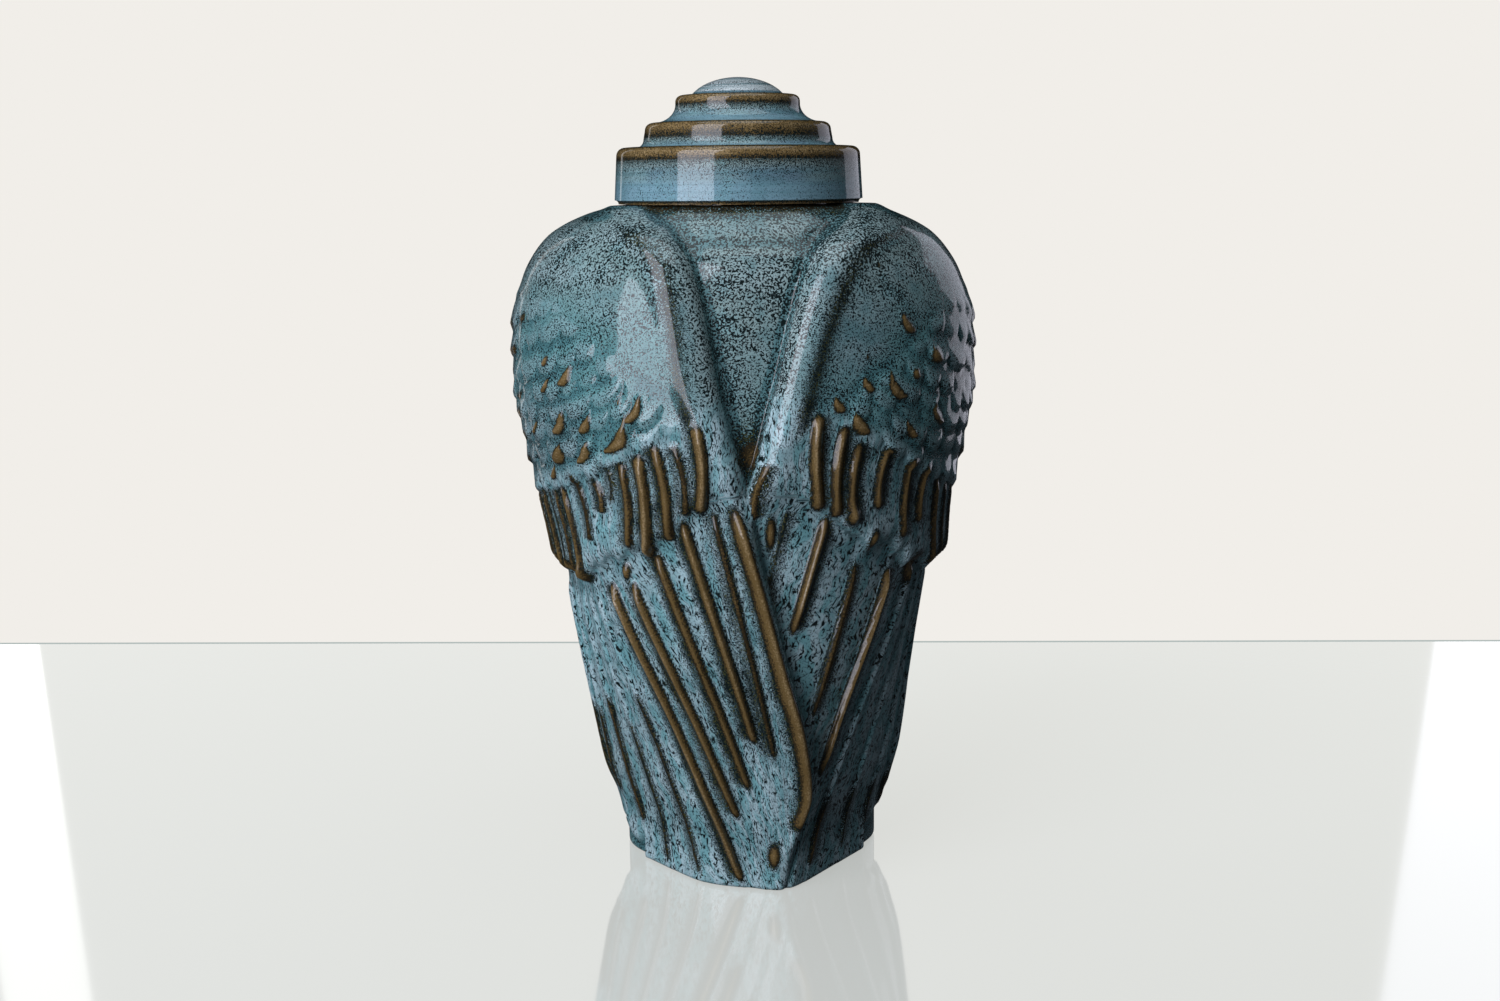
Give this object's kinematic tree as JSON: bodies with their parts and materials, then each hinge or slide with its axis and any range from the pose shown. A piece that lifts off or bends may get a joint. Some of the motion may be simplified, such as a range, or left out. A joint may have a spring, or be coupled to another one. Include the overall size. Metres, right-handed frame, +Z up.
{
  "type": "funeral urn",
  "caption": "Lidded hollow ceramic urn: a vessel on a rounded square foot, wrapped in folded feathered wings, under a loose stepped round lid.",
  "frame": {"origin": "on the vessel's axis, in the plane of its underside", "axes": "+Z up along the axis to the lid; -Y towards the front, where the wings open; +X to the right seen from the front"},
  "size_m": [0.1841, 0.1621, 0.3099],
  "materials": {
    "body_glaze": "glossy speckled blue-green glaze, thin and brown on the raised edges",
    "lid_glaze": "glossy speckled blue-green glaze, brown on the rounded steps"
  },
  "bodies": {
    "root": {"urn_body": "body_glaze", "lid": "lid_glaze"}
  },
  "joints": []
}
